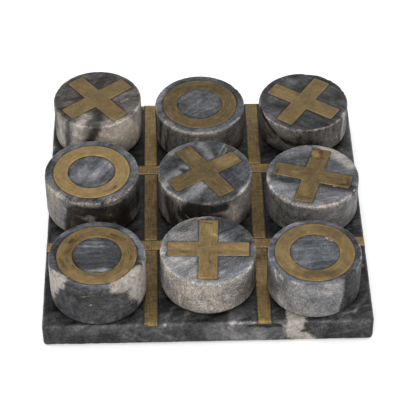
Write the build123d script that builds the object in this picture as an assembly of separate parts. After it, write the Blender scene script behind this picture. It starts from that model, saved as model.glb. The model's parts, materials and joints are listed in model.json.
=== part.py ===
"""Stone tic tac toe set: a slab with an inlaid brass grid, four rubber feet, and nine inlaid stone discs.

Frame: +Z up, +X to the player's right, +Y away from the player.
The origin is the centre of the board, on the surface that the feet stand on. Units are millimetres.
"""
from build123d import *
import os

# Board
BOARD_WIDTH = 203.0
BOARD_DEPTH = 206.0
BOARD_THICKNESS = 16.5
CORNER_RADIUS = 3.0
TOP_EDGE_RADIUS = 2.0
BOTTOM_EDGE_RADIUS = 1.0

# Rubber feet stuck under the board
FOOT_DIAMETER = 12.0
FOOT_HEIGHT = 1.2
FOOT_EDGE_RADIUS = 0.5
FOOT_INSET = 18.0

# Brass grid: centre lines of the strips, and the groove that each one is bedded in
STRIP_WIDTH = 8.0
STRIP_THICKNESS = 1.2
STRIP_RESIN_SIDE = 0.5
STRIP_RESIN_BELOW = 0.4
GRID_LEFT_X = -35.0
GRID_RIGHT_X = 34.5
GRID_FRONT_Y = -34.5
GRID_BACK_Y = 36.0

# Marks let into the tops of the discs
INLAY_THICKNESS = 1.5
INLAY_PROUD = 0.15
INLAY_RESIN_SIDE = 0.35
INLAY_RESIN_BELOW = 0.4
CROSS_SPAN = 50.0
CROSS_ARM_WIDTH = 11.6
CROSS_END_RADIUS = 0.8
CROSS_NOTCH_RADIUS = 0.5
RING_OUTER_DIAMETER = 48.8
RING_INNER_DIAMETER = 30.6

# Turned edges of the discs
DISC_TOP_RADIUS = 1.5
DISC_FOOT_RADIUS = 3.0

# Each disc is cut and placed by hand, so each has a size and a place of its own:
# name, centre x, centre y, diameter, height, turn of the mark in degrees
CROSS_DISCS = [
    ("cross_1", -70.0, 74.5, 58.5, 30.5, 38.5),
    ("cross_2", 68.5, 75.5, 60.0, 24.0, 55.5),
    ("cross_3", 0.5, 2.0, 60.5, 29.5, 33.0),
    ("cross_4", 69.5, -1.5, 59.5, 27.5, 72.0),
    ("cross_5", 1.0, -66.5, 59.5, 28.0, 88.0),
]
RING_DISCS = [
    ("ring_1", -1.5, 71.0, 60.0, 27.0, 0.0),
    ("ring_2", -72.0, 2.5, 60.5, 30.5, 0.0),
    ("ring_3", -67.0, -73.3, 59.5, 31.5, 0.0),
    ("ring_4", 66.0, -72.0, 58.0, 29.0, 0.0),
]

SLAB_TOP = FOOT_HEIGHT + BOARD_THICKNESS
GROOVE_WIDTH = STRIP_WIDTH + 2 * STRIP_RESIN_SIDE
GROOVE_DEPTH = STRIP_THICKNESS + STRIP_RESIN_BELOW
POCKET_DEPTH = INLAY_THICKNESS - INLAY_PROUD + INLAY_RESIN_BELOW
BEYOND_EDGE = 5.0  # how far a cutter runs past the face that it leaves through


def box_between(low, high):
    """A box from its lowest corner to its highest corner."""
    size = [top - bottom for bottom, top in zip(low, high)]
    return Pos(*low) * Box(*size, align=(Align.MIN, Align.MIN, Align.MIN))


def board_block():
    """The slab's outer shape, with eased edges and no grooves."""
    outline = RectangleRounded(BOARD_WIDTH, BOARD_DEPTH, CORNER_RADIUS)
    block = Pos(0, 0, FOOT_HEIGHT) * extrude(outline, BOARD_THICKNESS)
    block = fillet(block.edges().group_by(Axis.Z)[-1], TOP_EDGE_RADIUS)
    return fillet(block.edges().group_by(Axis.Z)[0], BOTTOM_EDGE_RADIUS)


def band_across(centre_y, width, depth):
    """A band that runs from left to right, sunk to a depth below the slab's top."""
    reach = BOARD_WIDTH / 2 + BEYOND_EDGE
    low = (-reach, centre_y - width / 2, SLAB_TOP - depth)
    high = (reach, centre_y + width / 2, SLAB_TOP)
    return box_between(low, high)


def band_along(centre_x, start_y, end_y, width, depth):
    """A band that runs from front to back, sunk to a depth below the slab's top."""
    low = (centre_x - width / 2, start_y, SLAB_TOP - depth)
    high = (centre_x + width / 2, end_y, SLAB_TOP)
    return box_between(low, high)


def grid_strips(block):
    """Two strips run right across. Between them, six short ones butt up to their bedding."""
    clearance = STRIP_WIDTH / 2 + STRIP_RESIN_SIDE
    edge = BOARD_DEPTH / 2 + BEYOND_EDGE
    spans = {
        "front": (-edge, GRID_FRONT_Y - clearance),
        "middle": (GRID_FRONT_Y + clearance, GRID_BACK_Y - clearance),
        "back": (GRID_BACK_Y + clearance, edge),
    }
    strips = {}
    for place, centre_y in (("front", GRID_FRONT_Y), ("back", GRID_BACK_Y)):
        band = band_across(centre_y, STRIP_WIDTH, STRIP_THICKNESS)
        strips[f"grid_strip_{place}"] = block & band
    for side, centre_x in (("left", GRID_LEFT_X), ("right", GRID_RIGHT_X)):
        for place, (start_y, end_y) in spans.items():
            band = band_along(centre_x, start_y, end_y, STRIP_WIDTH, STRIP_THICKNESS)
            strips[f"grid_strip_{side}_{place}"] = block & band
    return strips


def groove_cutter():
    """The four crossing grooves as one tool."""
    edge = BOARD_DEPTH / 2 + BEYOND_EDGE
    grooves = band_across(GRID_FRONT_Y, GROOVE_WIDTH, GROOVE_DEPTH)
    grooves += band_across(GRID_BACK_Y, GROOVE_WIDTH, GROOVE_DEPTH)
    grooves += band_along(GRID_LEFT_X, -edge, edge, GROOVE_WIDTH, GROOVE_DEPTH)
    grooves += band_along(GRID_RIGHT_X, -edge, edge, GROOVE_WIDTH, GROOVE_DEPTH)
    return grooves


def rubber_feet():
    """A low round foot near each corner, with its lower edge rounded."""
    reach_x = BOARD_WIDTH / 2 - FOOT_INSET
    reach_y = BOARD_DEPTH / 2 - FOOT_INSET
    foot = extrude(Circle(FOOT_DIAMETER / 2), FOOT_HEIGHT)
    foot = fillet(foot.edges().group_by(Axis.Z)[0], FOOT_EDGE_RADIUS)
    feet = {}
    for end, y in (("front", -reach_y), ("back", reach_y)):
        for side, x in (("left", -reach_x), ("right", reach_x)):
            feet[f"rubber_foot_{end}_{side}"] = Pos(x, y, 0) * foot
    return feet


def cross_outline(margin):
    """A cross with eased corners, grown outwards by a margin."""
    span = CROSS_SPAN + 2 * margin
    arm = CROSS_ARM_WIDTH + 2 * margin
    outline = Rectangle(span, arm) + Rectangle(arm, span)
    ends = outline.vertices().filter_by(lambda v: Vector(v).length > CROSS_ARM_WIDTH)
    outline = fillet(ends, CROSS_END_RADIUS + margin)
    notches = outline.vertices().filter_by(lambda v: Vector(v).length < CROSS_ARM_WIDTH)
    return fillet(notches, CROSS_NOTCH_RADIUS)


def ring_outline(margin):
    """A ring, grown by a margin on its outside and its inside."""
    return Circle(RING_OUTER_DIAMETER / 2 + margin) - Circle(RING_INNER_DIAMETER / 2 - margin)


def inlaid_disc(mark_outline, x, y, diameter, height, turn):
    """One disc: the stone with its pocket, the brass mark, and the resin bed between them."""
    place = Pos(x, y, SLAB_TOP) * Rot(0, 0, turn)
    stone = extrude(Circle(diameter / 2), height)
    stone = fillet(stone.edges().group_by(Axis.Z)[-1], DISC_TOP_RADIUS)
    stone = fillet(stone.edges().group_by(Axis.Z)[0], DISC_FOOT_RADIUS)
    pocket = Pos(0, 0, height - POCKET_DEPTH) * extrude(mark_outline(INLAY_RESIN_SIDE), POCKET_DEPTH)
    inlay_bottom = height - POCKET_DEPTH + INLAY_RESIN_BELOW
    inlay = Pos(0, 0, inlay_bottom) * extrude(mark_outline(0), INLAY_THICKNESS)
    return {
        "stone": place * (stone - pocket),
        "brass_mark": place * inlay,
        "resin_bed": place * (pocket - inlay),
    }


def board_nodes():
    """The slab, its grid, the resin that holds the grid, and the feet."""
    block = board_block()
    strips = grid_strips(block)
    grooves = groove_cutter()
    resin = block & grooves
    for strip in strips.values():
        resin -= strip
    return {"board_slab": block - grooves, "grid_resin": resin, **strips, **rubber_feet()}


def disc_nodes():
    """Every disc's three pieces, under the disc's own name."""
    nodes = {}
    for discs, mark_outline in ((CROSS_DISCS, cross_outline), (RING_DISCS, ring_outline)):
        for name, *place_and_size in discs:
            for piece, shape in inlaid_disc(mark_outline, *place_and_size).items():
                nodes[f"{name}_{piece}"] = shape
    return nodes


os.makedirs("parts", exist_ok=True)
for node, shape in {**board_nodes(), **disc_nodes()}.items():
    export_step(shape, f"parts/{node}.step")
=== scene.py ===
"""The looks of a stone and brass tic tac toe set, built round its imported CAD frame. Units are metres."""
import itertools
import json
import math

import bmesh
import bpy
import numpy as np
from mathutils import Matrix, Vector

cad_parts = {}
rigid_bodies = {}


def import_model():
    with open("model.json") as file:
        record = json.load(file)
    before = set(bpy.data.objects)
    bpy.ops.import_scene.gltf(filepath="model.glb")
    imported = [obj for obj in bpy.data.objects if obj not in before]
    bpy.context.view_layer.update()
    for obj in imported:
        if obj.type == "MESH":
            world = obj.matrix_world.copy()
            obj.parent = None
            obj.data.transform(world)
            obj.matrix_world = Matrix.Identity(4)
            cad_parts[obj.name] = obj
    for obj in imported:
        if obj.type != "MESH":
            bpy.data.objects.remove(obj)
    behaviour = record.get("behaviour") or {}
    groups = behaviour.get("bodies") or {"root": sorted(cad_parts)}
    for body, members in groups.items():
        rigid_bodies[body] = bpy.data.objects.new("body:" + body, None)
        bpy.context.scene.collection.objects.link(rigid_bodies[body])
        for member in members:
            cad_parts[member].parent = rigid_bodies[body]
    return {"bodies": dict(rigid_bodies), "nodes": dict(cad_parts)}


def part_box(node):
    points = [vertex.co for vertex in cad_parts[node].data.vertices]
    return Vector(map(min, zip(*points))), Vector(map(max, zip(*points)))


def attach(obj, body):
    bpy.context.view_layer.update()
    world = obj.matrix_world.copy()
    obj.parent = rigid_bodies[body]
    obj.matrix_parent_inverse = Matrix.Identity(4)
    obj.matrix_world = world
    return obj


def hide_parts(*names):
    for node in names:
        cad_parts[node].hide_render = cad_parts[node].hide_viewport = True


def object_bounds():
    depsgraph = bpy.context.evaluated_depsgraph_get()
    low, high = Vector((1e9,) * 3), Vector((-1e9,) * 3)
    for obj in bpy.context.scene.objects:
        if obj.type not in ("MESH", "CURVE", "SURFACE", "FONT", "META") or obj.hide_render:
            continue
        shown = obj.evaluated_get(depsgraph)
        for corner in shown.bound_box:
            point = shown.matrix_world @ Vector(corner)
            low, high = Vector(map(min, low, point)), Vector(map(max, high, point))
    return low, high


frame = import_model()
CAD_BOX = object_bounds()

MM = 0.001
DISC_NAMES = [name for name in frame["bodies"] if name != "board"]
STRIP_NAMES = [node for node in frame["nodes"] if node.startswith("grid_strip")]

# Camera: a long lens, a little left of the middle, looking down from the player's side
CAMERA_PLACE = (-0.0135, -0.8033, 0.7934)
CAMERA_TURN = (0.80201, 0.00432, -0.02387)
CAMERA_LENS_MM = 148.3
SENSOR_MM = 36.0

# Light: a pale sky, and soft boxes given as (name, place, size, watts, colour)
SKY_COLOUR = (0.97, 0.985, 1.0, 1.0)
SKY_STRENGTH = 0.85
LIGHT_AIM = (0, 0, 0.03)
SOFT_BOXES = [
    ("front_light", (-0.35, -1.1, 1.15), 0.8, 8, (1.0, 0.985, 0.96)),
    ("top_light", (0.1, 0.1, 1.4), 0.9, 5, (1.0, 1.0, 1.0)),
]
FLOOR_HALF = 3.0
FLOOR_GLOW = 0.25

# Stone: edge radii and how finely it is meshed
DISC_TOP_EDGE = 1.6 * MM
DISC_FOOT_EDGE = 3.0 * MM
DISC_SEGMENTS = 384
DISC_UNDER_RINGS = 10
DISC_SIDE_RINGS = 46
DISC_TOP_RINGS = 44
ROUND_STEPS = 9
SLAB_CORNER = 3.0 * MM
SLAB_TOP_EDGE = 2.0 * MM
SLAB_BOTTOM_EDGE = 1.0 * MM

# Stone: how deep its sawn sides, pits and chips go, how far from an edge it chips, and how far from an edge
# it is lightened by wear and partly by a painted highlight
UNEVEN_DEPTH = 0.22 * MM
PIT_DEPTH = 0.14 * MM
CHIP_DEPTH = 1.1 * MM
SMALL_CHIP_DEPTH = 0.6 * MM
CHIP_REACH = 2.2 * MM
DISC_WEAR_AND_HIGHLIGHT_REACH = 1.3 * MM
SLAB_WEAR_AND_HIGHLIGHT_REACH = 1.5 * MM
SAWN_DROP = 0.8 * MM
UNDERSIDE = 0.5 * MM

# Veins: how far their borders wander, how large that wander is, and how steeply a vein fades in
WANDER = 2.4 * MM
WANDER_SIZE = 9 * MM
VEIN_STEEPNESS = 1.6
PATCH_FIELDS = ("cream", "dark", "slate", "stain")

# Brass: how finely it is meshed, how far its rubbed edges reach in, how far they drop, and its dents
BRASS_STEP = 0.42 * MM
EDGE_WIDTH = 0.6 * MM
EDGE_DROP = 0.1 * MM
DENT_DEPTH = 0.03 * MM

# Grime and painted shade on the stone beside the brass: how far out it reaches, and how much it darkens
GRIME_AND_SHADE_REACH = 1.6 * MM
DISC_GRIME_AND_SHADE = 0.26
SLAB_GRIME_AND_SHADE = 0.13

# Vertices of a CAD mesh closer than this are one corner
WELD_DISTANCE = 0.002 * MM


# ---------------------------------------------------------------- geometry

def mesh_object(name, verts, faces):
    """A new object from plain lists of corners and faces."""
    mesh = bpy.data.meshes.new(name)
    mesh.from_pydata(verts, [], faces)
    mesh.update()
    made = bpy.data.objects.new(name, mesh)
    bpy.context.scene.collection.objects.link(made)
    return made


def applied(obj):
    """Turns an object's modifiers into its mesh."""
    graph = bpy.context.evaluated_depsgraph_get()
    mesh = bpy.data.meshes.new_from_object(obj.evaluated_get(graph))
    obj.modifiers.clear()
    obj.data = mesh
    return obj


def smooth_with_sharp_edges(obj, degrees=38):
    """Smooth shading that stops at edges sharper than an angle."""
    obj.data.shade_smooth()
    obj.data.set_sharp_from_angle(angle=math.radians(degrees))


def arc_profile(centre_r, centre_z, radius, start_deg, end_deg, steps):
    """Points of a rounded edge, as (distance from the axis, height)."""
    turns = np.radians(np.linspace(start_deg, end_deg, steps))
    return [(centre_r + radius * math.cos(t), centre_z + radius * math.sin(t)) for t in turns]


def disc_profile(radius, height):
    """A disc's outline from the middle of its underside to the middle of its top."""
    low, high = DISC_FOOT_EDGE, height - DISC_TOP_EDGE
    under = [(r, 0.0) for r in np.linspace(0.15, 1, DISC_UNDER_RINGS) * (radius - low)][:-1]
    foot = arc_profile(radius - low, low, low, -90, 0, ROUND_STEPS)
    side = [(radius, z) for z in np.linspace(low, high, DISC_SIDE_RINGS)[1:-1]]
    rim = arc_profile(radius - DISC_TOP_EDGE, high, DISC_TOP_EDGE, 0, 90, ROUND_STEPS)
    top = [(r, height) for r in np.linspace(1, 0.02, DISC_TOP_RINGS) * (radius - DISC_TOP_EDGE)][1:]
    return under + foot + side + rim + top


def turned_solid(name, profile, segments):
    """A closed solid of revolution with a point at the middle of each end."""
    turns = np.linspace(0, 2 * math.pi, segments, endpoint=False)
    verts = [(r * math.cos(t), r * math.sin(t), z) for r, z in profile for t in turns]
    faces = []
    for ring in range(len(profile) - 1):
        low, high = ring * segments, (ring + 1) * segments
        for i in range(segments):
            j = (i + 1) % segments
            faces.append((low + i, low + j, high + j, high + i))
    bottom, top = len(verts), len(verts) + 1
    verts += [(0, 0, profile[0][1]), (0, 0, profile[-1][1])]
    last = (len(profile) - 1) * segments
    for i in range(segments):
        j = (i + 1) % segments
        faces.append((bottom, j, i))
        faces.append((top, last + i, last + j))
    return mesh_object(name, verts, faces)


def grid_lines(stops):
    """Places along an axis, from a list of (start, spacing) that ends with the last place."""
    places = []
    for (start, spacing), (end, _) in zip(stops, stops[1:]):
        count = max(1, round((end - start) / spacing))
        places += list(np.linspace(start, end, count + 1))[:-1]
    return places + [stops[-1][0]]


def box_shell(name, xs, ys, zs):
    """The surface of a box as one closed mesh of quads between the given lines."""
    index = {}
    faces = []
    round_quad = ((0, 0), (1, 0), (1, 1), (0, 1))

    def corner(i, j, k):
        return index.setdefault((i, j, k), len(index))

    def patch(count_a, count_b, place, flip):
        for a, b in itertools.product(range(count_a), range(count_b)):
            quad = [corner(*place(a + i, b + j)) for i, j in round_quad]
            faces.append(quad[::-1] if flip else quad)

    nx, ny, nz = len(xs) - 1, len(ys) - 1, len(zs) - 1
    for end, flip in ((nz, False), (0, True)):
        patch(nx, ny, lambda a, b: (a, b, end), flip)
    for end, flip in ((0, False), (ny, True)):
        patch(nx, nz, lambda a, b: (a, end, b), flip)
    for end, flip in ((nx, False), (0, True)):
        patch(ny, nz, lambda a, b: (end, a, b), flip)
    return mesh_object(name, [(xs[i], ys[j], zs[k]) for i, j, k in index], faces)


def rounded_box(places, low, high, corner, top_edge, bottom_edge):
    """Moves the vertices of a box shell so that its corners and edges become round."""
    half = (high - low)[:2] / 2
    middle = (high + low)[:2] / 2
    flat = places[:, :2] - middle
    core = np.clip(flat, corner - half, half - corner)
    out = flat - core
    length = np.maximum(np.linalg.norm(out, axis=1), 1e-9)
    out *= (np.abs(out).max(axis=1) / length)[:, None]
    reach = np.linalg.norm(out, axis=1)
    height = places[:, 2].copy()
    new_reach = reach.copy()
    for end, edge, up in ((high[2], top_edge, 1), (low[2], bottom_edge, -1)):
        side = edge - (corner - reach)
        rise = edge - (end - places[:, 2]) * up
        near = (side > 0) & (rise > 0)
        shrink = edge / np.maximum(np.hypot(side, rise), 1e-9)
        new_reach = np.where(near, corner - edge + side * shrink, new_reach)
        height = np.where(near, end - up * (edge - rise * shrink), height)
    out *= (new_reach / np.maximum(reach, 1e-9))[:, None]
    return np.column_stack((core + out + middle, height))


def lattice_noise(points, size, seed):
    """Smooth noise from -1 to 1 at many points at once, with bumps a given size across."""
    table = np.random.default_rng(seed).uniform(-1, 1, 4096)
    cells = np.floor(points / size).astype(np.int64)
    share = points / size - cells
    share = share * share * (3 - 2 * share)
    noise = np.zeros(len(points))
    for corner in itertools.product((0, 1), repeat=3):
        x, y, z = (cells + corner).T
        weight = np.prod(np.where(corner, share, 1 - share), axis=1)
        noise += weight * table[(x * 73856093 ^ y * 19349663 ^ z * 83492791) & 4095]
    return noise


def rough_noise(points, size, seed, octaves=3):
    """Noise from -1 to 1 with finer and fainter noise on top."""
    noise = sum(lattice_noise(points, size / 2 ** k, seed * 10 + k) / 2 ** k for k in range(octaves))
    return noise / (2 - 2.0 ** (1 - octaves))


def welded(node):
    """A CAD node's mesh as an editable closed one."""
    shape = bmesh.new()
    shape.from_mesh(frame["nodes"][node].data)
    bmesh.ops.remove_doubles(shape, verts=shape.verts, dist=WELD_DISTANCE)
    return shape


def as_tool(shape):
    """An object, for cutting or measuring, from an edited mesh."""
    mesh = bpy.data.meshes.new("tool")
    shape.to_mesh(mesh)
    shape.free()
    tool = bpy.data.objects.new("tool", mesh)
    bpy.context.scene.collection.objects.link(tool)
    return tool


def pocket_cutter(node, beyond):
    """A prism on the outline of a CAD resin bed's underside, up past the stone's top and out past its
    sides."""
    low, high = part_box(node)
    shape = welded(node)
    upper = [v for v in shape.verts if v.co.z > low.z + 0.01 * MM]
    bmesh.ops.delete(shape, geom=upper, context="VERTS")
    base = list(shape.faces)
    for v in shape.verts:
        v.co.xy += Vector(beyond(v.co))
    grown = bmesh.ops.extrude_face_region(shape, geom=base)["geom"]
    for v in grown:
        if isinstance(v, bmesh.types.BMVert):
            v.co.z = high.z + 1 * MM
    bmesh.ops.recalc_face_normals(shape, faces=shape.faces)
    return as_tool(shape)


def combine(obj, tool, operation):
    """Cuts a tool out of a solid, or keeps what both share, and drops the tool."""
    step = obj.modifiers.new("combine", "BOOLEAN")
    step.operation = operation
    step.solver = "MANIFOLD"
    step.object = tool
    applied(obj)
    bpy.data.objects.remove(tool)


def top_outline(mesh, top):
    """The edges round a flat top face, as two arrays of corners."""
    flat, steep = set(), set()
    for face in mesh.polygons:
        (flat if face.normal.z > 0.999 else steep).update(tuple(sorted(edge)) for edge in face.edge_keys)
    edges = [edge for edge in flat & steep if all(abs(mesh.vertices[i].co.z - top) < 0.02 * MM for i in edge)]
    places = vertex_places(mesh)[:, :2]
    edges = np.array(edges)
    return places[edges[:, 0]], places[edges[:, 1]]


def move_vertices(mesh, places):
    """Puts a mesh's vertices at new places."""
    mesh.vertices.foreach_set("co", places.astype(np.float32).ravel())
    mesh.update()


def set_floats(mesh, name, values):
    """Stores one number per vertex for a material to read."""
    layer = mesh.attributes.new(name, "FLOAT", "POINT")
    layer.data.foreach_set("value", np.asarray(values, np.float32))


def set_vectors(mesh, name, values):
    """Stores one vector per vertex for a material to read."""
    layer = mesh.attributes.new(name, "FLOAT_VECTOR", "POINT")
    layer.data.foreach_set("vector", np.asarray(values, np.float32).ravel())


def vertex_places(mesh):
    """A mesh's vertices as an array."""
    flat = np.empty(len(mesh.vertices) * 3, np.float32)
    mesh.vertices.foreach_get("co", flat)
    return flat.reshape(-1, 3).astype(float)


# ---------------------------------------------------------------- materials

def new_material(name):
    """An empty node material: its node tree, and its main shader."""
    made = bpy.data.materials.new(name)
    made.use_nodes = True
    tree = made.node_tree
    return made, tree, tree.nodes["Principled BSDF"]


def add(tree, kind, **settings):
    """A node. Settings that name an input fill that input, and the rest are the node's own."""
    made = tree.nodes.new(kind)
    for key, value in settings.items():
        label = key.replace("_", " ")
        if label in made.inputs:
            made.inputs[label].default_value = value
        else:
            setattr(made, key, value)
    return made


def wire(tree, source, target):
    """Joins an output to an input. A node stands for its first output."""
    if isinstance(source, bpy.types.Node):
        source = source.outputs[0]
    tree.links.new(source, target)


def stored(tree, name):
    """What a mesh stored under a name: its number."""
    return add(tree, "ShaderNodeAttribute", attribute_name=name).outputs["Fac"]


def stored_vector(tree, name):
    """What a mesh stored under a name: its vector."""
    return add(tree, "ShaderNodeAttribute", attribute_name=name).outputs["Vector"]


def scaled(tree, vector, scale):
    """A vector stretched along each axis."""
    made = add(tree, "ShaderNodeMapping")
    made.inputs["Scale"].default_value = scale
    wire(tree, vector, made.inputs["Vector"])
    return made.outputs[0]


def noise_value(tree, vector, scale, detail=4.0, roughness=0.55, distortion=0.0):
    """Noise from 0 to 1."""
    made = add(tree, "ShaderNodeTexNoise", Scale=scale, Detail=detail, Roughness=roughness)
    made.inputs["Distortion"].default_value = distortion
    wire(tree, vector, made.inputs["Vector"])
    return made.outputs[0]


def math_value(tree, operation, a, b=None, clamp=False):
    """One sum, on numbers or on outputs."""
    made = add(tree, "ShaderNodeMath", operation=operation, use_clamp=clamp)
    for i, value in enumerate((a, b)):
        if value is None:
            continue
        if isinstance(value, (int, float)):
            made.inputs[i].default_value = value
        else:
            wire(tree, value, made.inputs[i])
    return made.outputs[0]


def swing(tree, vector, scale, detail, roughness, distortion=0.0):
    """The same noise from -0.5 to 0.5."""
    return math_value(tree, "SUBTRACT", noise_value(tree, vector, scale, detail, roughness, distortion), 0.5)


def product(tree, a, b):
    """Two values multiplied."""
    return math_value(tree, "MULTIPLY", a, b)


def total(tree, value, *parts):
    """A value with parts added, each given as (part, strength)."""
    for part, strength in parts:
        value = math_value(tree, "ADD", value, product(tree, part, strength))
    return value


def ranged(tree, value, low, high, to_low=0.0, to_high=1.0, smooth=False):
    """Maps a range of values onto another, clamped."""
    made = add(tree, "ShaderNodeMapRange", clamp=True)
    made.interpolation_type = "SMOOTHSTEP" if smooth else "LINEAR"
    made.inputs["From Min"].default_value = low
    made.inputs["From Max"].default_value = high
    made.inputs["To Min"].default_value = to_low
    made.inputs["To Max"].default_value = to_high
    wire(tree, value, made.inputs["Value"])
    return made.outputs[0]


def ramp(tree, value, stops):
    """Colours along a value, from a list of (place, colour)."""
    made = add(tree, "ShaderNodeValToRGB")
    elements = made.color_ramp.elements
    while len(elements) < len(stops):
        elements.new(0.5)
    for element, (place, colour) in zip(elements, stops):
        element.position = place
        element.color = (*colour, 1.0)
    wire(tree, value, made.inputs[0])
    return made.outputs[0]


def mixed(tree, amount, a, b):
    """Two colours mixed. Each may be a colour or an output, and so may the amount."""
    made = add(tree, "ShaderNodeMix", data_type="RGBA")
    sockets = {"amount": made.inputs[0], "a": made.inputs[6], "b": made.inputs[7]}
    for key, value in (("amount", amount), ("a", a), ("b", b)):
        if isinstance(value, (int, float)):
            sockets[key].default_value = value
        elif isinstance(value, tuple):
            sockets[key].default_value = (*value, 1.0)
        else:
            wire(tree, value, sockets[key])
    return made.outputs[2]


def bumped(tree, shader, height, distance, strength=1.0, under=None):
    """Adds relief to a shader. Returns the bump's normal, for another layer."""
    made = add(tree, "ShaderNodeBump", Strength=strength, Distance=distance)
    wire(tree, height, made.inputs["Height"])
    if under is not None:
        wire(tree, under, made.inputs["Normal"])
    tree.links.new(made.outputs[0], shader.inputs["Normal"])
    return made.outputs[0]


def display(*levels):
    """A colour given as the brightness that it shows on a screen, from 0 to 1."""
    return tuple(level / 12.92 if level <= 0.04045 else ((level + 0.055) / 1.055) ** 2.4 for level in levels)


def tinted_greys(tint):
    """Ramp stops from black to white in one tint, placed at the brightness that they show."""
    places = np.linspace(0, 0.95, 9)
    return [(float(p), display(*(min(p * part, 1) for part in tint))) for p in places]


def tinted(tree, tone, share, tint, other):
    """A grey of a given brightness in one tint, mixed with the same grey in another."""
    return mixed(tree, share, ramp(tree, tone, tinted_greys(tint)), ramp(tree, tone, tinted_greys(other)))


COOL_TINT = (0.965, 0.995, 1.055)
WARM_TINT = (1.075, 1.0, 0.905)
CREAM_COLOURS = [(0.0, display(0.37, 0.31, 0.26)), (0.25, display(0.54, 0.51, 0.475)),
                 (0.55, display(0.665, 0.635, 0.60)), (1.0, display(0.775, 0.75, 0.715))]
DARK_COLOURS = [(0.0, display(0.04, 0.035, 0.035)), (0.45, display(0.10, 0.085, 0.075)),
                (0.75, display(0.21, 0.175, 0.15)), (1.0, display(0.40, 0.36, 0.32))]
BRASS_TINT = (1.19, 1.0, 0.67)
GOLD_TINT = (1.24, 1.0, 0.56)
STAIN_COLOURS = (display(0.20, 0.155, 0.10), display(0.36, 0.26, 0.12))
SLATE_TONE = 0.17


def marble_material():
    """Veined marble. The mesh stores how light, warm and coarse it is at each place, how much its rims are
    lightened by wear and partly by a painted highlight, and where its cream and black veins run. The noises
    here add clouds, bedding, crystals and ragged borders."""
    made, tree, shader = new_material("marble")
    place = stored_vector(tree, "stone_place")
    clouds = swing(tree, place, 75, 7, 0.70, 0.6)
    bedding = swing(tree, scaled(tree, place, (26, 210, 48)), 1, 7, 0.62, 0.5)
    streaks = swing(tree, scaled(tree, place, (90, 850, 260)), 1, 4, 0.65, 0.3)
    crystals = swing(tree, place, 1050, 3, 0.7)
    crumbs = swing(tree, place, 420, 5, 0.7)
    ragged = total(tree, product(tree, crumbs, 0.7), (bedding, 0.35), (crystals, 0.6))
    # Rims lightened by wear, and partly a painted highlight where the rounded edge catches the light.
    worn = product(tree, stored(tree, "wear_and_rim_highlight"), ranged(tree, ragged, -0.2, 0.2))
    coarse = total(tree, 0.22, (stored(tree, "grain"), 0.85))
    vein = swing(tree, scaled(tree, place, (24, 75, 36)), 1, 5, 0.55, 1.4)
    vein = ranged(tree, math_value(tree, "ABSOLUTE", vein), 0.010, 0.0, smooth=True)
    vein_strength = ranged(tree, clouds, -0.02, 0.10, 0.0, 0.16)

    def patch(field, low, high, strength):
        """Where a painted patch shows, with a ragged border."""
        edge = math_value(tree, "ADD", stored(tree, field), ragged)
        return ranged(tree, edge, low, high, 0.0, strength, smooth=True)

    tone = add(tree, "ShaderNodeMix", data_type="FLOAT")
    wire(tree, patch("slate", 0.16, 0.30, 1.0), tone.inputs[0])
    wire(tree, stored(tree, "tone"), tone.inputs[2])
    tone.inputs[3].default_value = SLATE_TONE
    tone = total(tree, tone, (clouds, 0.48), (bedding, 0.38), (streaks, 0.24), (crumbs, 0.28),
                 (crystals, coarse), (worn, 0.28), (vein, vein_strength))
    warmth = math_value(tree, "ADD", stored(tree, "warm"), product(tree, clouds, 1.2), clamp=True)
    colour = tinted(tree, tone, warmth, COOL_TINT, WARM_TINT)

    cream_level = total(tree, crumbs, (bedding, 0.6))
    cream = ramp(tree, ranged(tree, cream_level, -0.3, 0.3), CREAM_COLOURS)
    colour = mixed(tree, patch("cream", 0.0, 0.58, 0.9), colour, cream)
    dark_level = total(tree, product(tree, clouds, 1.2), (bedding, 1.4), (crystals, 0.7))
    dark = ramp(tree, ranged(tree, dark_level, -0.3, 0.4), DARK_COLOURS)
    colour = mixed(tree, patch("dark", 0.0, 0.50, 0.93), colour, dark)
    wire(tree, colour, shader.inputs["Base Color"])

    sawn = stored(tree, "sawn")
    rough = total(tree, ranged(tree, sawn, 0, 1, 0.36, 0.68), (crumbs, 0.35))
    wire(tree, rough, shader.inputs["Roughness"])
    shader.inputs["Specular IOR Level"].default_value = 0.22

    relief = product(tree, crystals, total(tree, 0.18, (sawn, 0.8)))
    relief = total(tree, relief, (crumbs, product(tree, sawn, 1.3)))
    normal = bumped(tree, shader, relief, 0.30 * MM)
    scratches = noise_value(tree, scaled(tree, place, (220, 2400, 260)), 1, 3, 0.6)
    bumped(tree, shader, scratches, 0.05 * MM, 0.6, normal)
    return made


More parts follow.
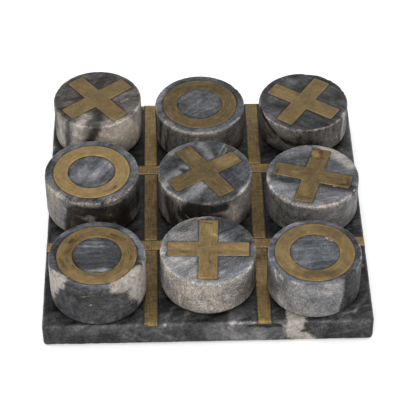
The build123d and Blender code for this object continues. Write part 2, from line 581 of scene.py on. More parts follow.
def brass_material():
    """Old brushed brass, bright and golden where its edges are rubbed and where a painted highlight lies
    along them, and brown where it is stained. The mesh stores its brightness, its stains, how far each place
    is from an edge, and which way it is brushed."""
    made, tree, shader = new_material("old_brass")
    place = add(tree, "ShaderNodeTexCoord").outputs["Object"]
    strokes = stored_vector(tree, "brush_place")
    clouds = swing(tree, place, 110, 5, 0.65, 0.4)
    spots = swing(tree, place, 330, 6, 0.75)
    brushed = swing(tree, scaled(tree, strokes, (110, 110, 900)), 1, 4, 0.7)
    threads = swing(tree, scaled(tree, strokes, (1300, 1300, 130)), 1, 2, 0.6)
    weave = product(tree, threads, stored(tree, "weave"))
    lines = product(tree, brushed, stored(tree, "brush"))
    # Lighter and more golden towards the edges: rubbed brass, and partly a painted highlight where the edges
    # catch the light.
    edge = ranged(tree, stored(tree, "edge"), 0.2 * MM, 1.3 * MM, 1.0, 0.0, smooth=True)
    rubbed_and_lit_edge = product(tree, edge, ranged(tree, clouds, -0.15, 0.15))
    tone = total(tree, stored(tree, "tone"), (clouds, 0.16), (spots, 0.20), (lines, 1.0), (weave, 1.0),
                 (rubbed_and_lit_edge, 0.06))
    golden = math_value(tree, "ADD", rubbed_and_lit_edge, product(tree, lines, 2.5), clamp=True)
    colour = tinted(tree, tone, golden, BRASS_TINT, GOLD_TINT)

    stain = total(tree, stored(tree, "stain"), (lines, 4.0), (spots, 0.9))
    stain_colour = mixed(tree, ranged(tree, clouds, -0.1, 0.1), *STAIN_COLOURS)
    colour = mixed(tree, ranged(tree, stain, 0.05, 0.5, 0.0, 0.75, smooth=True), colour, stain_colour)
    wire(tree, colour, shader.inputs["Base Color"])

    shader.inputs["Metallic"].default_value = 0.85
    rough = ranged(tree, clouds, -0.15, 0.15, 0.52, 0.42)
    rough = math_value(tree, "ADD", rough, ranged(tree, stain, 0.05, 0.5, 0.0, 0.2, smooth=True))
    wire(tree, rough, shader.inputs["Roughness"])
    normal = bumped(tree, shader, total(tree, brushed, (weave, 2.0)), 0.15 * MM)
    bumped(tree, shader, spots, 0.18 * MM, 0.6, normal)
    return made


def dusty_material(name, speck_scale, detail, stops, roughness, relief):
    """A dark matt material with fine specks of dust."""
    made, tree, shader = new_material(name)
    place = add(tree, "ShaderNodeTexCoord").outputs["Object"]
    specks = noise_value(tree, place, speck_scale, detail, 0.7)
    wire(tree, ramp(tree, specks, stops), shader.inputs["Base Color"])
    wire(tree, ranged(tree, specks, 0.3, 0.7, *roughness), shader.inputs["Roughness"])
    bumped(tree, shader, specks, relief)
    return made


def resin_material():
    """Dark filled epoxy."""
    stops = [(0.35, display(0.07, 0.06, 0.05)), (0.7, display(0.22, 0.2, 0.17))]
    return dusty_material("dark_resin", 900, 4, stops, (0.55, 0.8), 0.1 * MM)


def rubber_material():
    """Moulded black rubber."""
    stops = [(0.4, display(0.1, 0.1, 0.105)), (0.75, display(0.27, 0.265, 0.26))]
    return dusty_material("black_rubber", 700, 5, stops, (0.62, 0.85), 0.06 * MM)


# ---------------------------------------------------------------- the camera, the light and the floor

def make_camera():
    """The camera, at the angle that the set is looked at from."""
    lens = bpy.data.cameras.new("camera")
    lens.lens = CAMERA_LENS_MM
    lens.sensor_width = SENSOR_MM
    lens.clip_start = 0.01
    lens.clip_end = 20
    camera = bpy.data.objects.new("camera", lens)
    camera.location = CAMERA_PLACE
    camera.rotation_euler = CAMERA_TURN
    bpy.context.scene.collection.objects.link(camera)
    bpy.context.scene.camera = camera


def soft_box(name, place, size, watts, colour):
    """A large square lamp that faces the set."""
    lamp = bpy.data.lights.new(name, "AREA")
    lamp.shape = "SQUARE"
    lamp.size = size
    lamp.energy = watts
    lamp.color = colour
    made = bpy.data.objects.new(name, lamp)
    made.location = place
    made.rotation_euler = (Vector(LIGHT_AIM) - Vector(place)).to_track_quat("-Z", "Y").to_euler()
    bpy.context.scene.collection.objects.link(made)


def make_studio():
    """A pale sky and the soft boxes."""
    scene = bpy.context.scene
    scene.view_settings.view_transform = "Standard"
    world = bpy.data.worlds.new("studio")
    world.use_nodes = True
    back = world.node_tree.nodes["Background"]
    back.inputs["Color"].default_value = SKY_COLOUR
    back.inputs["Strength"].default_value = SKY_STRENGTH
    scene.world = world
    for name, place, size, watts, colour in SOFT_BOXES:
        soft_box(name, place, size, watts, colour)


def make_floor():
    """A plain pale floor, faintly lit from within so that it shows as white."""
    low = CAD_BOX[0].z
    corners = [(x * FLOOR_HALF, y * FLOOR_HALF, low) for x, y in ((-1, -1), (1, -1), (1, 1), (-1, 1))]
    floor = mesh_object("floor", corners, [(0, 1, 2, 3)])
    made, tree, shader = new_material("pale_floor")
    place = add(tree, "ShaderNodeTexCoord").outputs["Object"]
    mottle = noise_value(tree, place, 9, 3, 0.5)
    stops = [(0.3, (0.86, 0.86, 0.86)), (0.7, (0.9, 0.9, 0.9))]
    wire(tree, ramp(tree, mottle, stops), shader.inputs["Base Color"])
    shader.inputs["Roughness"].default_value = 0.9
    shader.inputs["Emission Color"].default_value = (1.0, 1.0, 1.0, 1.0)
    shader.inputs["Emission Strength"].default_value = FLOOR_GLOW
    floor.data.materials.append(made)


# ---------------------------------------------------------------- the stone

def edge_distances(inward, heights, low, high):
    """How far places are from a stone's top and bottom edges, from how far they are inside its sides."""
    return np.hypot(inward, high - heights), np.hypot(inward, heights - low)


def chipped(places, normals, rim_distance, foot_distance, seed):
    """Moves a stone's vertices inwards: uneven sawn sides, chipped edges and small pits."""
    side = np.hypot(normals[:, 0], normals[:, 1])
    uneven = 0.5 + 0.5 * rough_noise(places, 14 * MM, seed, 2)
    near_rim = np.clip(1 - rim_distance / CHIP_REACH, 0, 1) ** 0.7
    near_foot = np.clip(1 - foot_distance / CHIP_REACH, 0, 1) ** 0.7
    big_chip = np.clip(rough_noise(places, 6 * MM, seed + 20) - 0.22, 0, 1)
    small_chip = np.clip(rough_noise(places, 1.8 * MM, seed + 40, 2) - 0.15, 0, 1)
    depth = (UNEVEN_DEPTH * uneven + PIT_DEPTH * small_chip) * side
    depth += (near_rim + 0.7 * near_foot) * (CHIP_DEPTH * big_chip + SMALL_CHIP_DEPTH * small_chip)
    return places - normals * depth[:, None]


def near_segment(points, start, end):
    """How far each point is from a straight line between two places."""
    along = end - start
    share = np.clip((points - start) @ along / max(along @ along, 1e-12), 0, 1)
    return np.linalg.norm(points - start - share[:, None] * along, axis=1)


def near_lines(points, lines):
    """How far each point is from the nearest of many straight lines, each given as (start, end)."""
    nearest = np.full(len(points), np.inf)
    for start, end in lines:
        nearest = np.minimum(nearest, near_segment(points, start, end))
    return nearest


def paint(mesh, places, fields, veins, seed):
    """Stores what a material reads at every vertex. A vein is (field, path, width, strength): it changes that
    field within its width of a path through places. A negative strength takes away from the field."""
    wander = [rough_noise(places, WANDER_SIZE, seed + 60 + axis) for axis in range(3)]
    wandering = places + WANDER * np.column_stack(wander)
    for field, path, width, strength in veins:
        inside = 1 - near_lines(wandering, zip(path, path[1:])) / (width * MM)
        if field in PATCH_FIELDS and strength > 0:
            fields[field] = np.maximum(fields[field], inside * strength)
        else:
            fields[field] = fields[field] + strength * np.clip(inside * VEIN_STEEPNESS, 0, 1)
    for field, values in fields.items():
        set_floats(mesh, field, values)


def placed(veins, middle, size):
    """Veins moved from shares of a piece's size to real places."""
    return [(field, [middle + np.array(place) * size for place in path], width, strength)
            for field, path, width, strength in veins]


def set_stone_place(mesh, places, bedding, seed):
    """Stores where in its block each place of a stone lies, turned to its bedding."""
    turn = np.array(Matrix.Rotation(math.radians(-bedding), 3, "Z"))
    set_vectors(mesh, "stone_place", places @ turn.T + np.array((0.13, 0.29, 0.07)) * seed)


def grime_and_shade_beside(places, nodes, seed):
    """How much grime and painted shade darken a stone's top beside the brass that is let into it, from 0 to
    1.
    """
    lines = []
    for node in nodes:
        solid = as_tool(welded(node))
        lines += zip(*top_outline(solid.data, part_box(node)[1].z))
        bpy.data.objects.remove(solid)
    nearest = near_lines(places[:, :2], lines)
    patchy = np.clip(0.55 + 0.75 * rough_noise(places, 5 * MM, seed + 80), 0, 1)
    return patchy * np.clip(1 - nearest / GRIME_AND_SHADE_REACH, 0, 1)


def stone_fields(look, sawn, worn, grime_and_shade):
    """What a stone's mesh stores before its veins are painted. Sawn is 0 on its top and 1 on its sides."""
    def from_top_to_side(top, side):
        return look[top] + (look[side] - look[top]) * sawn

    unset = np.full(len(sawn), -1.0)
    return {
        "sawn": sawn,
        # The tone is darkened beside the brass by grime and partly by painted shade.
        "tone": from_top_to_side("top", "side") - grime_and_shade,
        "warm": from_top_to_side("top_warm", "side_warm"),
        "grain": from_top_to_side("top_grain", "grain"),
        # Near the top edge: worn stone, and partly a painted highlight along the rim.
        "wear_and_rim_highlight": np.clip(1.2 - worn, 0, 1) * look["wear_and_rim_highlight"],
        "cream": unset,
        "dark": unset,
        "slate": unset,
    }


def finished_stone(obj, marble, node, body):
    """The last steps for a piece of stone."""
    smooth_with_sharp_edges(obj)
    obj.data.materials.clear()
    obj.data.materials.append(marble)
    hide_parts(node)
    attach(obj, body)


def make_disc(name, look, veins, marble, seed):
    """A disc's stone: turned, chipped, cut for its mark, and given its own veins."""
    low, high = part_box(f"{name}_stone")
    foot = np.array(((low.x + high.x) / 2, (low.y + high.y) / 2, low.z))
    radius = (high.x - low.x) / 2
    height = high.z - low.z

    def inward(places):
        return radius - np.hypot(places[:, 0], places[:, 1])

    stone = turned_solid(f"{name}_marble", disc_profile(radius, height), DISC_SEGMENTS)
    places = vertex_places(stone.data)
    normals = np.array([v.normal for v in stone.data.vertices])
    edges = edge_distances(inward(places), places[:, 2], 0, height)
    move_vertices(stone.data, chipped(places, normals, *edges, seed) + foot)
    combine(stone, pocket_cutter(f"{name}_resin_bed", lambda place: (0, 0)), "DIFFERENCE")

    places = vertex_places(stone.data) - foot
    rim_distance = edge_distances(inward(places), places[:, 2], 0, height)[0]
    outer = np.clip(1 - inward(places) / DISC_TOP_EDGE, 0, 1)
    sawn = outer * np.clip((height - places[:, 2]) / SAWN_DROP, 0, 1)
    sawn = np.maximum(sawn, places[:, 2] < UNDERSIDE)
    # Darker stone beside the brass mark: grime, and partly painted shade along the joint.
    grime_and_shade = DISC_GRIME_AND_SHADE * grime_and_shade_beside(places + foot, [f"{name}_brass_mark"], seed)
    fields = stone_fields(look, sawn, rim_distance / DISC_WEAR_AND_HIGHLIGHT_REACH, grime_and_shade)
    size = np.array((radius, radius, height))
    paint(stone.data, places, fields, placed(veins, np.zeros(3), size), seed)
    set_stone_place(stone.data, places, look["bedding"], seed)
    finished_stone(stone, marble, f"{name}_stone", name)


def make_slab(look, marble, seed):
    """The board's stone: a rounded, chipped block with grooves for the grid."""
    low, high = (np.array(corner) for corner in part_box("board_slab"))
    edge, fine, wide = 0.4 * MM, 0.75 * MM, 1.25 * MM
    corner = SLAB_CORNER

    def inward(places):
        return np.minimum(places[:, :2] - low[:2], high[:2] - places[:, :2]).min(axis=1)

    def past_side(place):
        near = [end - abs(c) < 1 * MM for c, end in zip(place.xy, high[:2])]
        return [math.copysign(2 * MM, c) * close for c, close in zip(place.xy, near)]

    xs = grid_lines([(low[0], edge), (low[0] + corner, wide), (high[0] - corner, edge), (high[0], 0)])
    ys = grid_lines([(low[1], edge), (low[1] + corner, fine), (low[1] + 30 * MM, wide),
                     (high[1] - corner, edge), (high[1], 0)])
    zs = grid_lines([(low[2], edge), (low[2] + SLAB_BOTTOM_EDGE, fine),
                     (high[2] - SLAB_TOP_EDGE, edge), (high[2], 0)])
    slab = box_shell("board_marble", xs, ys, zs)
    places = rounded_box(vertex_places(slab.data), low, high, corner, SLAB_TOP_EDGE, SLAB_BOTTOM_EDGE)
    move_vertices(slab.data, places)
    normals = np.array([v.normal for v in slab.data.vertices])
    edges = edge_distances(inward(places), places[:, 2], low[2], high[2])
    move_vertices(slab.data, chipped(places, normals, *edges, seed))
    combine(slab, pocket_cutter("grid_resin", past_side), "DIFFERENCE")

    places = vertex_places(slab.data)
    rim_distance = edge_distances(inward(places), places[:, 2], low[2], high[2])[0]
    outer = np.clip(1 - inward(places) / SLAB_TOP_EDGE, 0, 1)
    sawn = outer * np.clip((high[2] - places[:, 2]) / SAWN_DROP, 0, 1)
    sawn = np.maximum(sawn, places[:, 2] < low[2] + UNDERSIDE)
    # Darker stone beside the grid strips: grime, and partly painted shade along the joints.
    grime_and_shade = SLAB_GRIME_AND_SHADE * grime_and_shade_beside(places, STRIP_NAMES, seed)
    fields = stone_fields(look, sawn, rim_distance / SLAB_WEAR_AND_HIGHLIGHT_REACH, grime_and_shade)
    paint(slab.data, places, fields, placed(look["veins"], np.zeros(3), MM), seed)
    set_stone_place(slab.data, places, look["bedding"], seed)
    finished_stone(slab, marble, "board_slab", "board")


# ---------------------------------------------------------------- the brass

def brush_places(from_middle, sides, ring, seed):
    """Places that stretch along the brushing: round a ring, and lengthwise along arms and strips."""
    if ring:
        away = np.linalg.norm(from_middle, axis=1)
        return np.column_stack((from_middle / away[:, None] * away.mean(), away))
    longest = sides[np.linalg.norm(sides, axis=1).argmax()]
    longest /= np.linalg.norm(longest)
    one = from_middle @ longest
    other = from_middle @ np.array((-longest[1], longest[0]))
    along_one = np.abs(one) > np.abs(other)
    lengthwise = np.where(along_one, one, other + 1)
    crosswise = np.where(along_one, other, one)
    return np.column_stack((lengthwise, np.full(len(one), seed), crosswise))


def make_brass(node, body, look, veins, brass, seed):
    """A finely meshed piece of brass in the shape of its CAD node, with worn, rounded-over edges."""
    low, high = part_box(node)
    beyond = 0.5 * BRASS_STEP
    xs = grid_lines([(low.x - beyond, BRASS_STEP), (high.x + beyond, 0)])
    ys = grid_lines([(low.y - beyond, BRASS_STEP), (high.y + beyond, 0)])
    block = box_shell(f"{node}_worn", xs, ys, [low.z - MM, high.z - 0.004 * MM])
    solid = as_tool(welded(node))
    starts, ends = top_outline(solid.data, high.z)
    combine(block, solid, "INTERSECT")
    mesh = block.data
    places = vertex_places(mesh)
    to_edge = near_lines(places[:, :2], zip(starts, ends))
    worn = EDGE_DROP * np.clip(1 - to_edge / EDGE_WIDTH, 0, 1) ** 2
    worn += DENT_DEPTH * (0.5 + 0.5 * rough_noise(places, 5 * MM, seed))
    places[:, 2] -= np.where(places[:, 2] > high.z - 0.01 * MM, worn, 0)
    move_vertices(mesh, places)
    from_middle = places[:, :2] - np.array((low + high)[:2]) / 2
    set_vectors(mesh, "brush_place", brush_places(from_middle, ends - starts, body.startswith("ring"), seed))
    fields = {key: np.full(len(places), look[key]) for key in ("tone", "brush", "weave", "stain")}
    fields["edge"] = to_edge
    paint(mesh, places, fields, veins, seed)
    smooth_with_sharp_edges(block)
    mesh.materials.clear()
    mesh.materials.append(brass)
    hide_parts(node)
    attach(block, body)


# ---------------------------------------------------------------- how each stone looks
# Tones are the brightness that the stone shows, from 0 to 1. Warm is 0 for blue-grey and 1 for beige-brown.
# A disc's places are in radii from its middle, and in heights. The slab's are in millimetres.

def on_top(x, y):
    """A place on a disc's top: x to the right and y to the back."""
    return (x, y, 1.0)


def on_side(degrees, up):
    """A place on a disc's side: degrees round to the right from the front, and the share of the height."""
    turn = math.radians(degrees)
    return (math.sin(turn), -math.cos(turn), up)


def across(field, width, strength, *stops):
    """A vein across a disc's top, through places given as (x, y)."""
    return field, [on_top(x, y) for x, y in stops], width, strength


def around(field, width, strength, *stops):
    """A vein round a disc's side, through places given as (degrees, up)."""
    path = [on_side(*stops[0])]
    for (start, low), (end, high) in zip(stops, stops[1:]):
        steps = 2 + int(abs(end - start) / 6)
        path += [on_side(start + (end - start) * share, low + (high - low) * share)
                 for share in np.linspace(0, 1, steps)[1:]]
    return field, path, width, strength


def rim(field, width, strength, start, end):
    """A vein along the edge of a disc's top, between two directions in degrees."""
    return around(field, width, strength, (start, 1.0), (end, 1.0))


DISC_LOOKS = {
    "cross_1": {"top": 0.225, "side": 0.41, "top_warm": 0.8, "side_warm": 0.85, "grain": 0.45,
                "top_grain": 0.05, "wear_and_rim_highlight": 0.8, "bedding": 20},
    "ring_1": {"top": 0.285, "side": 0.33, "top_warm": 0.15, "side_warm": 0.75, "grain": 0.45,
               "top_grain": 0.12, "wear_and_rim_highlight": 0.7, "bedding": 35},
    "cross_2": {"top": 0.188, "side": 0.325, "top_warm": 0.3, "side_warm": 0.75, "grain": 0.55,
                "top_grain": 0.1, "wear_and_rim_highlight": 0.9, "bedding": -35},
    "ring_2": {"top": 0.31, "side": 0.38, "top_warm": 0.25, "side_warm": 0.75, "grain": 0.4,
               "top_grain": 0.08, "wear_and_rim_highlight": 0.3, "bedding": 60},
    "cross_3": {"top": 0.245, "side": 0.345, "top_warm": 0.3, "side_warm": 0.8, "grain": 0.45,
                "top_grain": 0.12, "wear_and_rim_highlight": 0.8, "bedding": 55},
    "cross_4": {"top": 0.33, "side": 0.37, "top_warm": 0.25, "side_warm": 0.6, "grain": 0.35,
                "top_grain": 0.2, "wear_and_rim_highlight": 0.8, "bedding": 12},
    "ring_3": {"top": 0.20, "side": 0.22, "top_warm": 0.05, "side_warm": 0.3, "grain": 0.22,
               "top_grain": 0.05, "wear_and_rim_highlight": 0.35, "bedding": 0},
    "cross_5": {"top": 0.415, "side": 0.525, "top_warm": 0.45, "side_warm": 0.8, "grain": 0.75,
                "top_grain": 0.4, "wear_and_rim_highlight": 0.5, "bedding": 35},
    "ring_4": {"top": 0.305, "side": 0.43, "top_warm": 0.05, "side_warm": 0.45, "grain": 0.55,
               "top_grain": 0.2, "wear_and_rim_highlight": 0.5, "bedding": 4},
}

# Lighter tone bands along the fronts of some rims are worn stone and partly a painted highlight, where the
# rounded edge catches the light.
DISC_VEINS = {
    "cross_1": [
        around("tone", 10, -0.12, (-100, 0.5), (-78, 0.5)),
        around("tone", 6, 0.12, (-60, 0.85), (-58, 0.3)),
        around("cream", 3.5, 0.4, (-58, 0.7), (-55, 0.3)),
        around("warm", 4, -0.45, (-42, 1.0), (-44, 0.2)),
        around("tone", 3, -0.14, (-42, 1.0), (-41, 0.7), (-45, 0.2)),
        around("tone", 8, 0.14, (-27, 0.95), (-29, 0.2)),
        around("cream", 7, 0.32, (-26, 0.85), (-27, 0.3)),
        around("dark", 5.5, 0.62, (3, 1.0), (-7, 0.6), (-15, 0.2)),
        around("tone", 18, 0.23, (18, 0.7), (38, 0.55), (66, 0.6)),
        around("tone", 12, 0.08, (44, 0.7), (58, 0.4)),
        around("tone", 2.5, 0.07, (10, 0.75), (32, 0.5)),
        around("tone", 2.5, 0.09, (48, 0.9), (66, 0.4)),
        across("tone", 6, 0.2, (-0.36, -0.95), (-0.28, -0.62)),
        across("tone", 0.8, 0.26, (0.56, -0.14), (0.72, -0.02)),
        across("tone", 3, 0.07, (0.5, 0.2), (0.9, 0.14)),
        across("tone", 3, 0.06, (-0.9, 0.15), (-0.55, -0.1)),
        across("tone", 4, 0.07, (-0.45, 0.75), (0.05, 0.9)),
        across("dark", 4.2, 1.3, (0.0, 0.42), (0.12, 0.6), (0.34, 0.66)),
        across("dark", 4.5, 0.65, (-0.7, 0.0), (-0.35, -0.02)),
        across("dark", 5, 0.5, (0.0, -0.45), (0.06, -0.75)),
        around("cream", 1.6, 0.7, (66, 1.0), (78, 0.92)),
    ],
    "ring_1": [
        around("dark", 3, 0.7, (-80, 0.9), (-80, 0.1)),
        around("tone", 1.6, 0.14, (-71, 1.0), (-70, 0.2)),
        around("dark", 2.6, 0.6, (-62, 0.85), (-64, 0.1)),
        around("tone", 1.6, 0.12, (-55, 0.95), (-54, 0.3)),
        around("dark", 2.2, 0.55, (-46, 0.8), (-49, 0.1)),
        around("tone", 8, -0.12, (-30, 0.05), (60, 0.05)),
        around("tone", 5, 0.07, (-12, 0.75), (20, 0.6)),
        rim("tone", 3.0, 0.08, -62, 24),
        rim("grain", 3.5, 0.35, -62, 24),
        rim("tone", 2.2, 0.08, -40, 16),
        rim("warm", 3.0, 0.4, -62, 24),
        rim("tone", 1.0, 0.22, 24, 64),
        across("tone", 1.6, 0.05, (-0.38, -0.3), (0.15, 0.25)),
        across("tone", 1.6, 0.05, (-0.1, -0.42), (0.4, 0.05)),
        across("tone", 3, 0.1, (-0.96, 0.0), (-0.8, 0.5)),
        across("tone", 4, -0.07, (0.5, 0.8), (0.9, 0.3)),
    ],
    "cross_2": [
        around("tone", 6, 0.13, (-62, 0.95), (-35, 0.85), (-12, 0.8)),
        around("dark", 2.1, 1.5, (-80, 1.0), (-60, 0.84), (-42, 0.66), (-20, 0.48), (-4, 0.42)),
        around("tone", 8, -0.10, (-75, 0.2), (-40, 0.1), (-10, 0.1)),
        around("dark", 7, 0.6, (-4, 0.65), (14, 0.4)),
        around("tone", 7, 0.05, (28, 0.7), (40, 0.3)),
        around("tone", 3.0, 0.22, (60, 1.0), (58, 0.1)),
        around("tone", 10, -0.1, (88, 0.5), (110, 0.5)),
        across("tone", 5, 0.07, (-0.75, 0.05), (-0.2, 0.7)),
        across("tone", 5, 0.07, (-0.7, -0.3), (-0.3, -0.65)),
        across("tone", 6, 0.04, (0.35, 0.5), (0.75, -0.1)),
        across("dark", 5, 0.4, (0.45, 0.1), (0.8, 0.05)),
        across("dark", 4, 0.5, (-0.6, -0.12), (-0.4, -0.15)),
        rim("tone", 0.9, 0.22, -85, 50),
    ],
    "ring_2": [
        around("warm", 5, -0.5, (-76, 0.9), (-75, 0.2)),
        around("tone", 5, -0.04, (-76, 0.9), (-75, 0.2)),
        around("tone", 10, 0.04, (-48, 0.9), (-47, 0.2)),
        around("warm", 3.5, -0.4, (-30, 0.9), (-36, 0.2)),
        around("dark", 5, 0.9, (-24, 0.72), (-28, 0.1)),
        around("dark", 5.5, 1.2, (-20, 0.78), (8, 0.76), (40, 0.72)),
        around("dark", 6.5, 1.1, (-18, 0.5), (-5, 0.3)),
        around("dark", 8, 1.3, (16, 0.5), (42, 0.45)),
        around("dark", 8.5, 1.2, (-20, 0.12), (42, 0.1)),
        around("dark", 2.5, -0.5, (-2, 0.62), (3, 0.4)),
        around("dark", 1.8, -0.5, (24, 0.6), (30, 0.3)),
        around("tone", 2, 0.05, (66, 0.9), (68, 0.2)),
        around("tone", 12, -0.17, (50, 0.5), (88, 0.5)),
        rim("tone", 2.6, 0.07, -70, 10),
        rim("grain", 3.5, 0.6, -70, 60),
        rim("warm", 4, 0.4, -70, 60),
        rim("cream", 2.2, 0.45, -66, -30),
        rim("cream", 1.2, 0.3, -28, 64),
        across("tone", 6, 0.11, (-0.36, -0.2), (-0.16, 0.02)),
        across("tone", 6, 0.13, (0.02, -0.2), (0.32, 0.24)),
        across("tone", 5, -0.06, (-0.28, 0.3), (-0.02, 0.16)),
        across("tone", 5, -0.07, (0.22, -0.34), (0.42, -0.1)),
        across("tone", 4, -0.1, (-0.97, 0.0), (-0.9, 0.3)),
        across("tone", 3, -0.08, (-0.5, -0.8), (0.3, -0.92)),
    ],
    "cross_3": [
        across("tone", 4.5, 0.23, (-0.86, -0.34), (-0.42, 0.12)),
        across("tone", 6, 0.17, (-0.38, -0.8), (-0.08, -0.4)),
        across("tone", 0.9, 0.2, (0.26, 0.44), (0.44, 0.88)),
        across("tone", 0.8, 0.18, (0.36, 0.46), (0.55, 0.78)),
        across("tone", 4.5, 0.15, (-0.05, 0.85), (0.12, 0.5)),
        across("tone", 5, 0.1, (-0.7, 0.62), (-0.4, 0.85)),
        across("warm", 9, -0.3, (0.55, -0.1), (0.85, 0.1)),
        across("tone", 4, 0.06, (0.05, -0.8), (0.3, -0.6)),
        across("dark", 3, 0.7, (-0.5, 0.06), (-0.3, -0.06)),
        across("dark", 3, 0.5, (-0.62, 0.34), (-0.42, 0.4)),
        across("dark", 3, 0.45, (0.18, 0.66), (0.24, 0.48)),
        across("dark", 2.5, 0.35, (-0.5, -0.62), (-0.42, -0.5)),
        across("tone", 3.5, -0.08, (0.02, -0.5), (-0.12, -0.9)),
        across("dark", 2.5, 0.4, (0.42, -0.02), (0.55, 0.06)),
        rim("cream", 2.4, 0.5, -72, -34),
        rim("tone", 2.6, 0.2, 48, 86),
        rim("cream", 1.6, 0.35, 56, 80),
        rim("tone", 0.9, 0.2, -34, 52),
        around("dark", 6, 0.9, (-50, 0.75), (-40, 0.1)),
        around("dark", 6, 0.9, (-20, 0.85), (22, 0.8)),
        around("dark", 10, 1.2, (-22, 0.6), (8, 0.35)),
        around("dark", 7, 1.0, (-30, 0.1), (10, 0.05)),
        around("dark", 1.0, -0.8, (-37, 0.98), (-27, 0.6), (-10, 0.3)),
        around("cream", 0.9, 0.5, (-37, 0.98), (-27, 0.6), (-10, 0.3)),
        around("tone", 4, 0.1, (-66, 0.8), (-62, 0.3)),
        # Painted light: the right side is lightened to lift the shade that falls there.
        around("tone", 14, 0.2, (28, 0.5), (55, 0.6), (75, 0.5)),
        around("tone", 1.6, 0.08, (36, 0.8), (36, 0.1)),
    ],
    "cross_4": [
        across("tone", 6, 0.2, (0.28, 0.8), (0.6, 0.62), (0.85, 0.25)),
        across("warm", 6, 0.5, (0.28, 0.8), (0.6, 0.62), (0.85, 0.25)),
        across("tone", 3.4, -0.17, (-0.85, -0.08), (-0.3, -0.2)),
        across("tone", 5.0, -0.2, (0.26, -0.3), (0.9, -0.5)),
        across("tone", 6, -0.09, (-0.55, 0.4), (-0.15, 0.42)),
        across("tone", 4, 0.06, (-0.5, 0.75), (0.0, 0.85)),
        across("tone", 7, 0.1, (-0.75, -0.35), (-0.4, -0.65)),
        across("tone", 6, 0.05, (0.3, -0.6), (0.6, -0.55)),
        rim("tone", 3.2, 0.12, -85, 50),
        rim("grain", 4, 0.6, -85, 60),
        rim("warm", 3, 0.4, -50, 40),
        rim("cream", 2.2, 0.34, -50, 34),
        across("cream", 1.4, 0.8, (0.86, -0.46), (0.97, -0.34)),
        across("cream", 1.0, 0.9, (0.32, -0.32), (0.5, -0.36)),
        around("tone", 2.4, -0.07, (-65, 0.8), (-5, 0.45)),
        around("tone", 2.8, -0.07, (-50, 0.35), (12, 0.12)),
        around("tone", 4, 0.05, (0, 0.75), (30, 0.6)),
        around("warm", 11, -0.2, (50, 0.6), (65, 0.4)),
        around("tone", 8, 0.05, (50, 0.6), (65, 0.4)),
    ],
    "ring_3": [
        across("tone", 5, 0.22, (0.6, 0.65), (0.9, 0.3), (0.97, -0.15)),
        across("tone", 3, 0.12, (-0.7, 0.62), (0.0, 0.95)),
        across("tone", 3, 0.08, (-0.97, 0.1), (-0.85, -0.4)),
        across("tone", 1.6, 0.1, (-0.38, 0.26), (0.4, 0.24)),
        across("tone", 1.3, 0.07, (-0.25, 0.38), (0.3, 0.37)),
        across("tone", 1.0, 0.06, (-0.42, 0.08), (0.1, 0.1)),
        across("tone", 2.6, 0.24, (-0.35, -0.45), (0.38, -0.44)),
        across("tone", 3, 0.16, (-0.75, -0.62), (0.0, -0.9), (0.5, -0.8)),
        around("cream", 6, 1.3, (-92, 0.8), (-66, 0.8), (-48, 0.95)),
        around("cream", 8, 1.3, (-72, 0.68), (-64, 0.72)),
        around("cream", 13, 1.3, (-98, 0.5), (-82, 0.5)),
        around("cream", 7, 1.3, (30, 0.97), (46, 0.9)),
        around("cream", 6, 1.3, (46, 0.86), (95, 0.84)),
        around("cream", 10, 1.3, (56, 0.66), (64, 0.58)),
        around("cream", 14, 1.3, (72, 0.5), (90, 0.45)),
        across("cream", 4, 0.75, (0.55, -0.7), (0.86, -0.38)),
        across("cream", 2.5, 0.8, (-0.93, -0.35), (-0.75, -0.6)),
        ("dark", [on_top(-0.99, 0.0), on_top(-0.95, -0.3), on_side(-70, 0.86), on_side(-66, 0.7)],
         1.0, 0.9),
        rim("dark", 0.9, 0.45, -46, 26),
        around("tone", 5, -0.05, (-34, 0.8), (16, 0.72)),
        around("cream", 0.8, 0.32, (-16, 0.80), (-2, 0.82)),
        around("cream", 0.6, 0.5, (-10, 0.60), (-5, 0.62)),
        around("tone", 5, 0.04, (-50, 0.3), (-45, 0.1)),
    ],
    "cross_5": [
        across("tone", 12, -0.24, (0.3, 0.8), (0.75, 0.35)),
        across("tone", 9, -0.1, (0.35, -0.4), (0.8, -0.2)),
        across("warm", 14, -0.4, (0.3, 0.6), (0.6, -0.4)),
        across("tone", 11, 0.08, (-0.7, -0.4), (-0.3, -0.6)),
        across("tone", 6, -0.1, (-0.2, 0.8), (-0.5, 0.6)),
        rim("tone", 2.6, 0.06, -88, 12),
        rim("tone", 1.2, 0.08, 34, 75),
        around("tone", 10, -0.1, (-98, 0.5), (-76, 0.5)),
        # Painted shade: the right side is darkened where it turns away from the light.
        around("tone", 14, -0.17, (58, 0.5), (98, 0.5)),
        around("warm", 12, -0.4, (-98, 0.5), (-76, 0.5)),
    ],
    "ring_4": [
        around("slate", 7, 1.1, (46, 0.9), (44, 0.4), (38, 0.0)),
        around("slate", 15, 1.6, (70, 0.5), (66, 0.4)),
        around("slate", 20, 1.8, (100, 0.5), (130, 0.4)),
        around("tone", 10, -0.13, (-85, 0.5), (-66, 0.5)),
        around("cream", 1.2, 0.8, (-58, 1.0), (-56, 0.7), (-52, 0.45)),
        around("cream", 2.2, 0.6, (-52, 0.95), (-46, 0.9)),
        around("tone", 3, 0.06, (-8, 0.8), (14, 0.78)),
        rim("tone", 2.2, 0.05, -50, 30),
        rim("cream", 1.4, 0.6, 66, 100),
        across("cream", 1.8, 0.6, (0.3, 0.4), (0.4, 0.32)),
        around("tone", 2.2, 0.1, (50, 0.8), (54, 0.3)),
        across("tone", 1.4, 0.04, (-0.4, 0.15), (0.4, 0.1)),
        across("tone", 1.4, 0.04, (-0.3, -0.2), (0.35, -0.25)),
        across("tone", 3, 0.16, (0.85, 0.45), (0.98, 0.0)),
        across("tone", 3, 0.09, (-0.9, -0.2), (-0.5, -0.8), (0.2, -0.92)),
